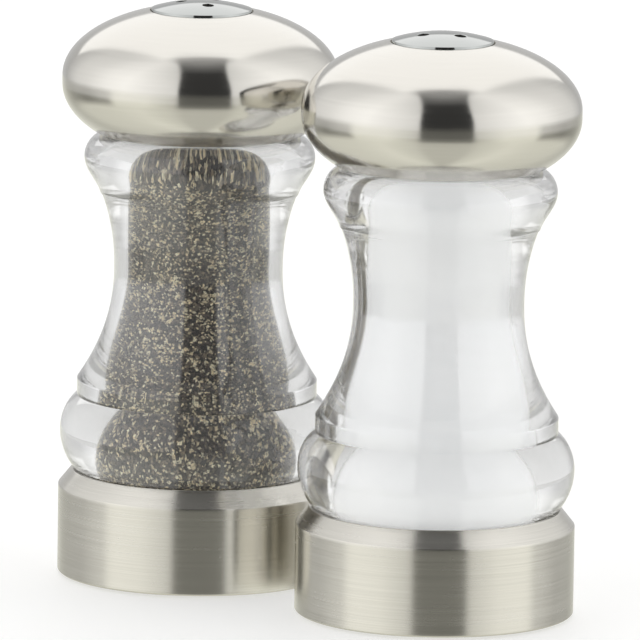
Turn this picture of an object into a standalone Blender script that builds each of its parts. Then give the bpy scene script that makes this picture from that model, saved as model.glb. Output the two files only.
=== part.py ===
"""Salt and pepper shakers: two clear acrylic bottles, each with a domed steel screw cap and a steel base ring.

Every piece is turned about its shaker's own axis. The salt shaker stands at +X and the pepper shaker at -X,
both on the plane z = 0. Lengths are in metres.
"""

import math

import bmesh
import bpy
from mathutils import Matrix

for old_object in list(bpy.data.objects):
    bpy.data.objects.remove(old_object, do_unlink=True)

# ---- fineness and clearances ----
TURN_STEPS = 32            # facets round each turned piece
CURVE_STEPS = 6            # points along each curved stretch of an outline
HOLE_STEPS = 16            # facets round each hole of the shaker disc
SHARP_ANGLE = 35           # degrees between faces that meet in a sharp edge
GAP = 0.0003               # between pieces that touch or are bonded
GROOVE = 0.0003            # open groove round the shaker disc
CAP_CLEARANCE = 0.0004     # between the screwed-down cap and the bottle's shoulder

# ---- the pair ----
SHAKER_GAP = 0.0060        # between the two shakers where they are widest

# ---- base ring, plug and pad ----
PAD_PROUD = 0.0005         # how far the pad stands below the ring
PAD_RADIUS = 0.0240
PAD_THICKNESS = 0.0016
RING_RADIUS = 0.0302
RING_WALL = 0.0010
RING_CREASE_HEIGHT = 0.0192   # straight side, from the ring's lower edge to the chamfer
CHAMFER_HEIGHT = 0.0036
CHAMFER_INSET = 0.0029
RING_TOP_LAND = 0.0007
RING_EDGE_ROUND = 0.0006
RING_LIP_WIDTH = 0.0040    # inward flange at the ring's lower edge
PLUG_FLANGE_HEIGHT = 0.0047
PLUG_RIM_DROP = 0.0007     # rim of the plug below the pad's upper face
PLUG_STEM_HEIGHT = 0.0074
SEAL_SECTION_RADIUS = 0.0007
SEAL_HEIGHT = 0.0037       # middle of the seal ring above the plug's flange

# ---- acrylic bottle ----
FOOT_INSET = 0.00025       # the bulging foot at its widest, inside the base ring's side
FOOT_LOWER_ROUND = 0.0130
FOOT_UPPER_ROUND = 0.0103
FOOT_LOWER_HEIGHT = 0.0084
FOOT_UPPER_HEIGHT = 0.0078
LIP_RADIUS = 0.0263        # short straight band above the foot
LIP_HEIGHT = 0.0036
WAIST_RADIUS = 0.01847
WAIST_POWER = 2.15         # how slowly the waist curve leaves its narrowest point
FLARE_HEIGHT = 0.0246      # from the band up to the waist
NECKING_HEIGHT = 0.0166    # from the waist up to the step
STEP_RADIUS = 0.02145
BEAD_RADIUS = 0.02526
BEAD_SWELL = 0.00374       # depth of the wave whose upper part is the bead's lower side
BEAD_WAVE = 0.0092         # half its wavelength
BEAD_LOWER_HEIGHT = 0.0079
BEAD_ROUND = 0.0053
CAVITY_RADIUS = 0.01545
CAVITY_FOOT_RADIUS = 0.0218
CAVITY_FLARE_TOP = 0.0005  # start of the cavity's flare, above the waist
CAVITY_FLARE_HEIGHT = 0.0330

# ---- neck and its screw thread ----
NECK_WALL = 0.00195          # between the neck's inside and the root of its thread
NECK_HEIGHT = 0.0107
THREAD_HEIGHT = 0.0009
THREAD_PITCH = 0.0036
THREAD_CREST_HALF = 0.00035
THREAD_TURNS = 1.4
THREAD_START = 0.0032      # first turn's middle above the shoulder
THREAD_FADE_TURNS = 0.12   # length over which a thread's end sinks into its wall
THREAD_CLEARANCE = 0.00035
ROW_STEP = 0.0006          # spacing of the mesh rows that carry a thread

# ---- cap ----
CAP_RADIUS = 0.03025
CAP_WALL = 0.0008
CAP_LOWER_HEIGHT = 0.0104  # from the rim up to the widest line
CAP_RIM_INSET = 0.0025     # the cap's rim, inside the bead at its widest
CAP_BAND_HEIGHT = 0.0018   # straight band at the widest line
CAP_UPPER_SEMI = 0.0156
DISC_RADIUS = 0.0110
DISC_THICKNESS = 0.0010
DISC_PROUD = 0.0005        # edge of the disc above the dome beside it
DISC_RISE = 0.0016         # crown of the disc above its edge
DISC_EDGE_ROUND = 0.0003
HOLE_RADIUS = 0.00125
HOLE_CIRCLE_RADIUS = 0.0046
HOLE_COUNT = 3
HOLE_CUTTER_HEIGHT = 0.0060
FIRST_HOLE_ANGLE = {"salt": 1, "pepper": 86}   # degrees about the axis, as the caps stand when screwed down
INSERT_THREAD_CREST_HALF = 0.00048
INSERT_THREAD_TURNS = 1.1
INSERT_THREAD_DELAY = 0.35    # turns from the neck thread's start to the insert thread's
INSERT_WALL = 0.0016
INSERT_FLANGE_THICKNESS = 0.0016
INSERT_RECESS = 0.0003     # flange above the shell's rim
INSERT_BORE_RADIUS = 0.0092
INSERT_TOP_WALL = 0.0044
WASHER_THICKNESS = 0.0012
WASHER_BORE_INSET = 0.0003   # washer's bore outside the neck's

# ---- contents ----
FILL_TOP_BELOW_SHOULDER = 0.0020

# ---- levels above the table, from the bottom up ----
RING_BOTTOM_Z = PAD_PROUD
RING_CREASE_Z = RING_BOTTOM_Z + RING_CREASE_HEIGHT
RING_TOP_Z = RING_CREASE_Z + CHAMFER_HEIGHT
SEAT_Z = RING_TOP_Z + GAP
FOOT_Z = SEAT_Z + FOOT_LOWER_HEIGHT
LIP_BOTTOM_Z = FOOT_Z + FOOT_UPPER_HEIGHT
LIP_TOP_Z = LIP_BOTTOM_Z + LIP_HEIGHT
WAIST_Z = LIP_TOP_Z + FLARE_HEIGHT
STEP_Z = WAIST_Z + NECKING_HEIGHT
BEAD_Z = STEP_Z + BEAD_LOWER_HEIGHT
SHOULDER_Z = BEAD_Z + BEAD_ROUND
NECK_TOP_Z = SHOULDER_Z + NECK_HEIGHT
CAP_RIM_Z = SHOULDER_Z + CAP_CLEARANCE
CAP_WIDEST_Z = CAP_RIM_Z + CAP_LOWER_HEIGHT
CAP_DOME_Z = CAP_WIDEST_Z + CAP_BAND_HEIGHT
WASHER_Z = NECK_TOP_Z + GAP
INSERT_SHOULDER_Z = WASHER_Z + WASHER_THICKNESS + GAP

# ---- radii and levels where pieces fit one another ----
AXIS_SPACING = 2 * max(RING_RADIUS, CAP_RADIUS, BEAD_RADIUS) + SHAKER_GAP
FOOT_RADIUS = RING_RADIUS - FOOT_INSET
RING_TOP_RADIUS = RING_RADIUS - CHAMFER_INSET
RING_MOUTH_RADIUS = RING_TOP_RADIUS - RING_TOP_LAND
RING_LIP_RADIUS = RING_RADIUS - RING_LIP_WIDTH
SPIGOT_RADIUS = RING_MOUTH_RADIUS - GAP
PLUG_RADIUS = RING_LIP_RADIUS - GAP
PLUG_RIM_Z = PAD_THICKNESS - PLUG_RIM_DROP
PLUG_RECESS_Z = PAD_THICKNESS + GAP
PLUG_FLANGE_Z = PLUG_RIM_Z + PLUG_FLANGE_HEIGHT
PLUG_TOP_Z = PLUG_FLANGE_Z + PLUG_STEM_HEIGHT
PLUG_STEM_RADIUS = CAVITY_FOOT_RADIUS - GAP
SEAL_Z = PLUG_FLANGE_Z + SEAL_HEIGHT
SEAL_RADIUS = CAVITY_FOOT_RADIUS - GAP - SEAL_SECTION_RADIUS
SEAL_GROOVE_RADIUS = SEAL_RADIUS - SEAL_SECTION_RADIUS - GAP
SEAL_GROOVE_HALF = SEAL_SECTION_RADIUS + GAP
SPIGOT_BOTTOM_Z = PLUG_FLANGE_Z + GAP
NECK_ROOT_RADIUS = CAVITY_RADIUS + NECK_WALL
NECK_CREST_RADIUS = NECK_ROOT_RADIUS + THREAD_HEIGHT
INSERT_ROOT_RADIUS = NECK_CREST_RADIUS + THREAD_CLEARANCE
WASHER_RADIUS = INSERT_ROOT_RADIUS - THREAD_CLEARANCE
WASHER_BORE_RADIUS = CAVITY_RADIUS + WASHER_BORE_INSET
CAVITY_FLARE_TOP_Z = WAIST_Z + CAVITY_FLARE_TOP
FILL_TOP_Z = SHOULDER_Z - FILL_TOP_BELOW_SHOULDER
DOME_MOUTH_RADIUS = DISC_RADIUS + GROOVE
CAP_RIM_RADIUS = BEAD_RADIUS - CAP_RIM_INSET
CAP_LOWER_SEMI = CAP_LOWER_HEIGHT / math.sqrt(1 - (CAP_RIM_RADIUS / CAP_RADIUS) ** 2)


def fractions(count):
    """Evenly spaced fractions from 0 to 1, both ends included."""
    return [step / count for step in range(count + 1)]


def arc(centre_r, centre_z, radius_r, radius_z, start, end, count=CURVE_STEPS):
    """Points (r, z) along an elliptical arc, with its angles in degrees from +r towards +z."""
    angles = [math.radians(start + (end - start) * part) for part in fractions(count)]
    return [(centre_r + radius_r * math.cos(a), centre_z + radius_z * math.sin(a)) for a in angles]


def circle_angle(radius, height):
    """Angle in degrees at which a circle of this radius stands this far above its centre."""
    return math.degrees(math.asin(height / radius))


def half_width(wall, z):
    """Radius of the dome at a level, at this depth below its outer face: two half ellipses and a band."""
    reach = CAP_RADIUS - wall
    if z > CAP_DOME_Z:
        return reach * math.sqrt(1 - ((z - CAP_DOME_Z) / (CAP_UPPER_SEMI - wall)) ** 2)
    if z < CAP_WIDEST_Z:
        return reach * math.sqrt(1 - ((CAP_WIDEST_Z - z) / (CAP_LOWER_SEMI - wall)) ** 2)
    return reach


def dome_z(wall, r):
    """Level of the dome's upper half at a radius, at this depth below its outer face."""
    return CAP_DOME_Z + (CAP_UPPER_SEMI - wall) * math.sqrt(1 - (r / (CAP_RADIUS - wall)) ** 2)


def dome_outline(wall, mouth_radius):
    """Points from the cap's rim up over the widest line to the mouth of its dome."""
    reach = CAP_RADIUS - wall
    rim_angle = circle_angle(CAP_LOWER_SEMI - wall, CAP_LOWER_HEIGHT)
    mouth_angle = math.degrees(math.acos(mouth_radius / reach))
    lower = arc(0, CAP_WIDEST_Z, reach, CAP_LOWER_SEMI - wall, -rim_angle, 0, 4)
    upper = arc(0, CAP_DOME_Z, reach, CAP_UPPER_SEMI - wall, 0, mouth_angle, 7)
    return lower + upper


def cavity_radius(z):
    """Radius of the bottle's inside: a straight bore that flares in a half wave to the wide foot."""
    part = (CAVITY_FLARE_TOP_Z - z) / CAVITY_FLARE_HEIGHT
    part = min(max(part, 0), 1)
    return CAVITY_RADIUS + (CAVITY_FOOT_RADIUS - CAVITY_RADIUS) * (1 - math.cos(math.pi * part)) / 2


def cavity_outline(bottom_z, top_z, gap):
    """Points down the cavity's wall from one level to another, drawn inwards by a gap."""
    flare = [CAVITY_FLARE_TOP_Z - CAVITY_FLARE_HEIGHT * part for part in fractions(CURVE_STEPS)]
    return [(cavity_radius(z) - gap, z) for z in [top_z, *flare, bottom_z]]


def waist_radius(z):
    """Radius of the concave waist, whose rise from the narrowest point follows a power of the distance."""
    if z < WAIST_Z:
        return WAIST_RADIUS + (LIP_RADIUS - WAIST_RADIUS) * ((WAIST_Z - z) / FLARE_HEIGHT) ** WAIST_POWER
    return WAIST_RADIUS + (STEP_RADIUS - WAIST_RADIUS) * ((z - WAIST_Z) / NECKING_HEIGHT) ** WAIST_POWER


def bead_lower_radius(z):
    """Radius of the bead's lower side, the upper part of a half wave."""
    return BEAD_RADIUS - BEAD_SWELL * (1 - math.cos(math.pi * (BEAD_Z - z) / BEAD_WAVE)) / 2


def thread_height(turn, z, first_z, turns, crest_half, height):
    """Height of a screw thread above its wall, at a part of a turn (0 to 1) and a level.

    The ridge's middle climbs one pitch a turn from first_z, its flanks slope at 45 degrees, and its ends fade.
    """
    whole_turns = round((z - first_z) / THREAD_PITCH - turn)
    along = whole_turns + turn
    beside = abs(z - first_z - along * THREAD_PITCH)
    ridge = min(max(height + crest_half - beside, 0), height)
    from_end = min(along, turns - along)
    return ridge * min(max(from_end / THREAD_FADE_TURNS, 0), 1)


def steel(name, colour, roughness):
    return name, colour, roughness, 1.0, 0.0


STEEL_SATIN = steel("cap_steel", (0.66, 0.64, 0.59), 0.20)
STEEL_BRUSHED = steel("base_steel", (0.58, 0.57, 0.54), 0.32)
STEEL_POLISHED = steel("disc_steel", (0.72, 0.71, 0.68), 0.12)
ACRYLIC = ("clear_acrylic", (0.95, 0.97, 0.97), 0.03, 0.0, 1.0)
INSERT_PLASTIC = ("insert_plastic", (0.85, 0.85, 0.83), 0.45, 0.0, 0.0)
PLUG_PLASTIC = ("plug_plastic", (0.80, 0.80, 0.78), 0.45, 0.0, 0.0)
SEAL_SILICONE = ("seal_silicone", (0.82, 0.82, 0.80), 0.55, 0.0, 0.0)
PAD_RUBBER = ("pad_rubber", (0.06, 0.06, 0.06), 0.80, 0.0, 0.0)
SALT_GRAINS = ("salt_grains", (0.93, 0.93, 0.92), 0.75, 0.0, 0.0)
PEPPER_GRAINS = ("pepper_grains", (0.16, 0.13, 0.10), 0.85, 0.0, 0.0)


def material(finish):
    """The material of a finish, made the first time it is asked for."""
    name, colour, roughness, metallic, transmission = finish
    made = bpy.data.materials.get(name)
    if made:
        return made
    made = bpy.data.materials.new(name)
    made.use_nodes = True
    shader = made.node_tree.nodes["Principled BSDF"]
    shader.inputs["Base Color"].default_value = (*colour, 1.0)
    shader.inputs["Roughness"].default_value = roughness
    shader.inputs["Metallic"].default_value = metallic
    shader.inputs["Transmission Weight"].default_value = transmission
    return made


def without_repeats(points):
    """The outline with each point that repeats the one before it left out."""
    kept = []
    for point in points:
        if not kept or math.dist(point, kept[-1]) > GAP / 100:
            kept.append(point)
    return kept


def turned(name, outline, finish, parent, thread=None):
    """A solid turned about the parent's axis from an outline of (r, z) points.

    An outline that starts and ends on the axis makes a solid piece, and any other is closed into a ring.
    A thread is (lowest z, highest z, function of (turn, z) that gives how far its wall moves outwards,
    inner radius, outer radius): it moves the points in that band of levels and radii.
    """
    points = without_repeats(outline)
    on_axis = points[0][0] == 0
    mesh = bpy.data.meshes.new(name)
    shape = bmesh.new()
    corners = [shape.verts.new((r, 0, z)) for r, z in points]
    edges = [shape.edges.new(pair) for pair in zip(corners, corners[1:])]
    if not on_axis:
        edges.append(shape.edges.new((corners[-1], corners[0])))
    bmesh.ops.spin(
        shape, geom=corners + edges, cent=(0, 0, 0), axis=(0, 0, 1), angle=2 * math.pi,
        steps=TURN_STEPS, use_merge=True, use_duplicate=False,
    )
    bmesh.ops.remove_doubles(shape, verts=shape.verts, dist=GAP / 30)
    if thread:
        raise_thread(shape, *thread)
    bmesh.ops.recalc_face_normals(shape, faces=shape.faces)
    shape.to_mesh(mesh)
    shape.free()
    mesh.shade_smooth()
    mesh.set_sharp_from_angle(angle=math.radians(SHARP_ANGLE))
    mesh.materials.append(material(finish))
    solid = bpy.data.objects.new(name, mesh)
    bpy.context.collection.objects.link(solid)
    solid.parent = parent
    return solid


def raise_thread(shape, low_z, high_z, offset, inner_radius, outer_radius):
    """Moves the wall's points in a band in or out, to leave a helical ridge on it."""
    for corner in shape.verts:
        r = math.hypot(corner.co.x, corner.co.y)
        if low_z < corner.co.z < high_z and inner_radius < r < outer_radius:
            turn = math.atan2(corner.co.y, corner.co.x) / (2 * math.pi) % 1
            stretch = (r + offset(turn, corner.co.z)) / r
            corner.co.x *= stretch
            corner.co.y *= stretch


def rows(radius, low_z, high_z):
    """Closely spaced outline points up a straight wall that carries a thread."""
    count = math.ceil((high_z - low_z) / ROW_STEP)
    return [(radius, low_z + (high_z - low_z) * part) for part in fractions(count)]


def make_cap_shell(prefix, parent):
    outer = dome_outline(0, DOME_MOUTH_RADIUS)
    inner = dome_outline(CAP_WALL, DOME_MOUTH_RADIUS)
    turned(prefix + "_cap_shell", outer + inner[::-1], STEEL_SATIN, parent)


def make_disc(prefix, parent):
    """The domed shaker disc, with its holes bored by hidden cutters."""
    edge_z = dome_z(0, DOME_MOUTH_RADIUS) + DISC_PROUD
    crown_z = edge_z + DISC_RISE
    face_radius = DISC_RADIUS - DISC_EDGE_ROUND
    top = [(face_radius * part, crown_z - DISC_RISE * part ** 2) for part in fractions(4)]
    side = [(DISC_RADIUS, edge_z - DISC_EDGE_ROUND), (DISC_RADIUS, edge_z - DISC_THICKNESS)]
    bottom = [(0, crown_z - DISC_THICKNESS)]
    disc = turned(prefix + "_shaker_disc", top + side + bottom, STEEL_POLISHED, parent)
    for hole in range(HOLE_COUNT):
        angle = math.radians(FIRST_HOLE_ANGLE[prefix] + 360 * hole / HOLE_COUNT)
        cutter_mesh = bpy.data.meshes.new("hole_cutter")
        shape = bmesh.new()
        bmesh.ops.create_cone(
            shape, cap_ends=True, segments=HOLE_STEPS, radius1=HOLE_RADIUS, radius2=HOLE_RADIUS,
            depth=HOLE_CUTTER_HEIGHT,
            matrix=Matrix.Translation((
                HOLE_CIRCLE_RADIUS * math.cos(angle), HOLE_CIRCLE_RADIUS * math.sin(angle), edge_z,
            )),
        )
        shape.to_mesh(cutter_mesh)
        shape.free()
        cutter = bpy.data.objects.new(f"{prefix}_hole_cutter_{hole + 1}", cutter_mesh)
        bpy.context.collection.objects.link(cutter)
        cutter.parent = parent
        cutter.hide_render = True
        cutter.display_type = "WIRE"
        cut = disc.modifiers.new(f"hole_{hole + 1}", "BOOLEAN")
        cut.operation = "DIFFERENCE"
        cut.solver = "EXACT"
        cut.object = cutter


def make_insert(prefix, parent):
    """The threaded collar inside the shell: a flange at the rim, a threaded bore and a tube up to the disc."""
    bottom_z = CAP_RIM_Z + INSERT_RECESS
    flange_radius = half_width(CAP_WALL, CAP_RIM_Z) - GAP
    collar_radius = INSERT_ROOT_RADIUS + INSERT_WALL
    tube_radius = INSERT_BORE_RADIUS + INSERT_TOP_WALL
    tube_top_z = dome_z(CAP_WALL, tube_radius) - GAP
    disc_edge_z = dome_z(0, DOME_MOUTH_RADIUS) + DISC_PROUD
    spigot_radius = DISC_RADIUS - GAP
    spigot_top_z = disc_edge_z - DISC_THICKNESS - GAP
    collar_top_z = INSERT_SHOULDER_Z + INSERT_FLANGE_THICKNESS
    outline = [
        *rows(INSERT_ROOT_RADIUS, bottom_z, WASHER_Z),
        (INSERT_ROOT_RADIUS, INSERT_SHOULDER_Z),
        (INSERT_BORE_RADIUS, INSERT_SHOULDER_Z),
        (INSERT_BORE_RADIUS, spigot_top_z),
        (spigot_radius, spigot_top_z),
        (spigot_radius, tube_top_z),
        (tube_radius, tube_top_z),
        (tube_radius, collar_top_z),
        (collar_radius, collar_top_z),
        (collar_radius, bottom_z + INSERT_FLANGE_THICKNESS),
        (flange_radius, bottom_z + INSERT_FLANGE_THICKNESS),
        (flange_radius, bottom_z),
    ]
    first_z = SHOULDER_Z + THREAD_START - THREAD_PITCH / 2 + INSERT_THREAD_DELAY * THREAD_PITCH

    def inwards(turn, z):
        turn = (turn - INSERT_THREAD_DELAY) % 1
        return -thread_height(
            turn, z, first_z, INSERT_THREAD_TURNS, INSERT_THREAD_CREST_HALF, THREAD_HEIGHT
        )

    thread = (bottom_z + GAP / 2, WASHER_Z - GAP / 2, inwards, INSERT_ROOT_RADIUS - GAP, INSERT_ROOT_RADIUS + GAP)
    turned(prefix + "_cap_insert", outline, INSERT_PLASTIC, parent, thread)


def make_washer(prefix, parent):
    """The flat seal that the screwed-down cap presses on the neck's rim."""
    top_z = WASHER_Z + WASHER_THICKNESS
    outline = [
        (WASHER_BORE_RADIUS, WASHER_Z), (WASHER_RADIUS, WASHER_Z),
        (WASHER_RADIUS, top_z), (WASHER_BORE_RADIUS, top_z),
    ]
    turned(prefix + "_cap_washer", outline, SEAL_SILICONE, parent)


def make_bottle(prefix, parent):
    """The thick-walled acrylic bottle, from its spigot inside the base ring to its threaded neck."""
    foot_lower_angle = circle_angle(FOOT_LOWER_ROUND, FOOT_LOWER_HEIGHT)
    foot_upper_angle = circle_angle(FOOT_UPPER_ROUND, FOOT_UPPER_HEIGHT)
    foot = arc(FOOT_RADIUS - FOOT_LOWER_ROUND, FOOT_Z, FOOT_LOWER_ROUND, FOOT_LOWER_ROUND, -foot_lower_angle, 0, 4)
    foot += arc(FOOT_RADIUS - FOOT_UPPER_ROUND, FOOT_Z, FOOT_UPPER_ROUND, FOOT_UPPER_ROUND, 0, foot_upper_angle, 4)
    flare = [(waist_radius(z), z) for z in (LIP_TOP_Z + FLARE_HEIGHT * part for part in fractions(6))]
    necking = [(waist_radius(z), z) for z in (WAIST_Z + NECKING_HEIGHT * part for part in fractions(3))]
    bead = [(bead_lower_radius(z), z) for z in (STEP_Z + BEAD_LOWER_HEIGHT * part for part in fractions(4))]
    bead += arc(BEAD_RADIUS - BEAD_ROUND, BEAD_Z, BEAD_ROUND, BEAD_ROUND, 0, 90, 5)
    neck = rows(NECK_ROOT_RADIUS, SHOULDER_Z, NECK_TOP_Z)
    cavity = cavity_outline(SPIGOT_BOTTOM_Z, NECK_TOP_Z, 0)
    spigot = [(SPIGOT_RADIUS, SPIGOT_BOTTOM_Z), (SPIGOT_RADIUS, SEAT_Z)]
    outline = spigot + foot + [(LIP_RADIUS, LIP_BOTTOM_Z)] + flare + necking + bead + neck + cavity

    def outwards(turn, z):
        return thread_height(turn, z, SHOULDER_Z + THREAD_START, THREAD_TURNS, THREAD_CREST_HALF, THREAD_HEIGHT)

    thread = (SHOULDER_Z + GAP / 2, NECK_TOP_Z - GAP / 2, outwards, NECK_ROOT_RADIUS - GAP, NECK_ROOT_RADIUS + GAP)
    turned(prefix + "_bottle", outline, ACRYLIC, parent, thread)


def make_base_ring(prefix, parent):
    """The steel ring: a lip that turns in at the bottom, a straight side, and a chamfer up to the bottle."""
    inner_radius = RING_RADIUS - RING_WALL
    chamfer_slope = CHAMFER_HEIGHT / CHAMFER_INSET
    inner_top_z = RING_CREASE_Z + (inner_radius - RING_MOUTH_RADIUS) * chamfer_slope - RING_WALL / 2
    edge = arc(
        RING_RADIUS - RING_EDGE_ROUND, RING_BOTTOM_Z + RING_EDGE_ROUND, RING_EDGE_ROUND, RING_EDGE_ROUND, -90, 0, 3
    )
    outline = [
        (RING_LIP_RADIUS, RING_BOTTOM_Z), *edge, (RING_RADIUS, RING_CREASE_Z), (RING_TOP_RADIUS, RING_TOP_Z),
        (RING_MOUTH_RADIUS, RING_TOP_Z), (RING_MOUTH_RADIUS, inner_top_z),
        (inner_radius, RING_CREASE_Z - RING_WALL / 2), (inner_radius, RING_BOTTOM_Z + RING_WALL),
        (RING_LIP_RADIUS, RING_BOTTOM_Z + RING_WALL),
    ]
    turned(prefix + "_base_ring", outline, STEEL_BRUSHED, parent)


def make_plug(prefix, parent):
    """The plug that closes the bottle's open foot, with a recess below for the pad and a groove for its seal."""
    outline = [
        (0, PLUG_RECESS_Z), (PAD_RADIUS + GAP, PLUG_RECESS_Z), (PAD_RADIUS + GAP, PLUG_RIM_Z),
        (PLUG_RADIUS, PLUG_RIM_Z), (PLUG_RADIUS, PLUG_FLANGE_Z),
        (PLUG_STEM_RADIUS, PLUG_FLANGE_Z), (PLUG_STEM_RADIUS, SEAL_Z - SEAL_GROOVE_HALF),
        (SEAL_GROOVE_RADIUS, SEAL_Z - SEAL_GROOVE_HALF), (SEAL_GROOVE_RADIUS, SEAL_Z + SEAL_GROOVE_HALF),
        (PLUG_STEM_RADIUS, SEAL_Z + SEAL_GROOVE_HALF), (PLUG_STEM_RADIUS, PLUG_TOP_Z), (0, PLUG_TOP_Z),
    ]
    turned(prefix + "_base_plug", outline, PLUG_PLASTIC, parent)


def make_plug_seal(prefix, parent):
    section = arc(SEAL_RADIUS, SEAL_Z, SEAL_SECTION_RADIUS, SEAL_SECTION_RADIUS, 0, 360, 6)[:-1]
    turned(prefix + "_plug_seal", section, SEAL_SILICONE, parent)


def make_pad(prefix, parent):
    outline = [(0, 0), (PAD_RADIUS, 0), (PAD_RADIUS, PAD_THICKNESS), (0, PAD_THICKNESS)]
    turned(prefix + "_foot_pad", outline, PAD_RUBBER, parent)


def make_fill(prefix, parent, finish):
    """The grains, as one solid that stands on the plug and follows the cavity's wall."""
    wall = cavity_outline(PLUG_TOP_Z + GAP, FILL_TOP_Z, GAP)
    turned(prefix + "_fill", [(0, FILL_TOP_Z), *wall, (0, PLUG_TOP_Z + GAP)], finish, parent)


def make_shaker(prefix, x, grains):
    """One whole shaker about its own upright axis, its cap's pieces under an empty on the cap's axis."""
    stand = bpy.data.objects.new(prefix + "_shaker_axis", None)
    stand.location = (x, 0, 0)
    cap = bpy.data.objects.new(prefix + "_cap_axis", None)
    cap.parent = stand
    for empty in (stand, cap):
        bpy.context.collection.objects.link(empty)
    make_pad(prefix, stand)
    make_base_ring(prefix, stand)
    make_plug(prefix, stand)
    make_plug_seal(prefix, stand)
    make_bottle(prefix, stand)
    make_fill(prefix, stand, grains)
    make_washer(prefix, cap)
    make_insert(prefix, cap)
    make_cap_shell(prefix, cap)
    make_disc(prefix, cap)


make_shaker("salt", AXIS_SPACING / 2, SALT_GRAINS)
make_shaker("pepper", -AXIS_SPACING / 2, PEPPER_GRAINS)
bpy.context.view_layer.update()
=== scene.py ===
# Salt and pepper shakers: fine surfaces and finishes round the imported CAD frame.
import math
import bmesh
import bpy
import numpy as np
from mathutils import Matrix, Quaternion, Vector


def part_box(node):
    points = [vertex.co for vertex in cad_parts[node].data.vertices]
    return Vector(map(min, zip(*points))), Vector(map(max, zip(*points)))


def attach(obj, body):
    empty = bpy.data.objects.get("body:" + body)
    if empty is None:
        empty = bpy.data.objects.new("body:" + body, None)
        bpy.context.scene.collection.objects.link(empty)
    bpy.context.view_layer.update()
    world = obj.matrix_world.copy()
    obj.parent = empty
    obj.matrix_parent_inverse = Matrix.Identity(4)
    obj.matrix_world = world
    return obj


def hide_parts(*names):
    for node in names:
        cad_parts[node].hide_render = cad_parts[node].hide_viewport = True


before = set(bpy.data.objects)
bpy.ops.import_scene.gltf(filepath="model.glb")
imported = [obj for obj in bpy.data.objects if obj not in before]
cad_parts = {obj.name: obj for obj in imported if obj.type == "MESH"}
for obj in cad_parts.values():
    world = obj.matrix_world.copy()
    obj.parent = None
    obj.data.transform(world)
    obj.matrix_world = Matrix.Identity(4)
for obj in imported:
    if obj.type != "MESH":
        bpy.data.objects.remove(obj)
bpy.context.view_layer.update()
mm = 0.001
tau = 2 * math.pi
shakers = ("salt", "pepper")
print("frame loaded:", len(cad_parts), "nodes")

# Fineness of the turned pieces: steps round the axis, and rows by length and by turning angle.
fineness = {"round": 168, "rowLength": 1.6, "rowTurn": 5.0, "density": 0.04}


def nodeLevels(node):
    # lowest and highest level of a CAD node, in millimetres
    low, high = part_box(node)
    return low.z / mm, high.z / mm


def nodeRadius(node):
    # half the width of a CAD node, in millimetres
    low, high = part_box(node)
    return (high.x - low.x) / 2 / mm


def axisX(shaker):
    # place of a shaker's axis, in metres
    low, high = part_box(shaker + "_base_ring")
    return (low.x + high.x) / 2


def ellipseArc(centre, radii, start, end, count=24):
    # points on an ellipse, angles in degrees from +r towards +z
    a = np.radians(np.linspace(start, end, count))
    return np.stack([centre[0] + radii[0] * np.cos(a), centre[1] + radii[1] * np.sin(a)], 1)


def dense(points, closed, spacing):
    # the outline cut into short equal steps: points at s = k * length / count along it
    points = np.asarray(points, float)
    if closed:
        points = np.vstack([points, points[:1]])
    lengths = np.linalg.norm(np.diff(points, axis=0), axis=1)
    points = points[np.r_[True, lengths > 1e-6]]
    along = np.r_[0, np.cumsum(np.linalg.norm(np.diff(points, axis=0), axis=1))]
    count = max(int(along[-1] / spacing), 8)
    s = np.linspace(0, along[-1], count, endpoint=not closed)
    return np.stack([np.interp(s, along, points[:, 0]), np.interp(s, along, points[:, 1])], 1)


def roundedOutline(points, closed=True, edge=0.12, rowLength=None, rowTurn=None):
    # corners eased by a running average as wide as the edge, then a row wherever length / rowLength + turning
    # / rowTurn has grown by one
    rowLength = rowLength or fineness["rowLength"]
    rowTurn = rowTurn or fineness["rowTurn"]
    spacing = fineness["density"]
    line = dense(points, closed, spacing)
    reach = max(int(edge / spacing), 1)
    kernel = np.hanning(2 * reach + 3)[1:-1]
    kernel /= kernel.sum()
    if closed:
        padded = np.vstack([line[-reach:], line, line[:reach]])
    else:
        padded = np.vstack([2 * line[0] - line[reach:0:-1], line, 2 * line[-1] - line[-2:-reach - 2:-1]])
    line = np.stack([np.convolve(padded[:, k], kernel, "valid") for k in (0, 1)], 1)
    if closed:
        line = np.vstack([line, line[:1]])
    steps = np.diff(line, axis=0)
    headings = np.unwrap(np.arctan2(steps[:, 1], steps[:, 0]))
    turns = np.degrees(np.abs(np.r_[0, np.diff(headings)]))
    effort = np.r_[0, np.cumsum(np.linalg.norm(steps, axis=1) / rowLength + turns / rowTurn)]
    rows = max(int(effort[-1]), 8)
    want = np.linspace(0, effort[-1], rows + 1)
    picked = np.stack([np.interp(want, effort, line[:, k]) for k in (0, 1)], 1)
    return picked[:-1] if closed else picked


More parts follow.
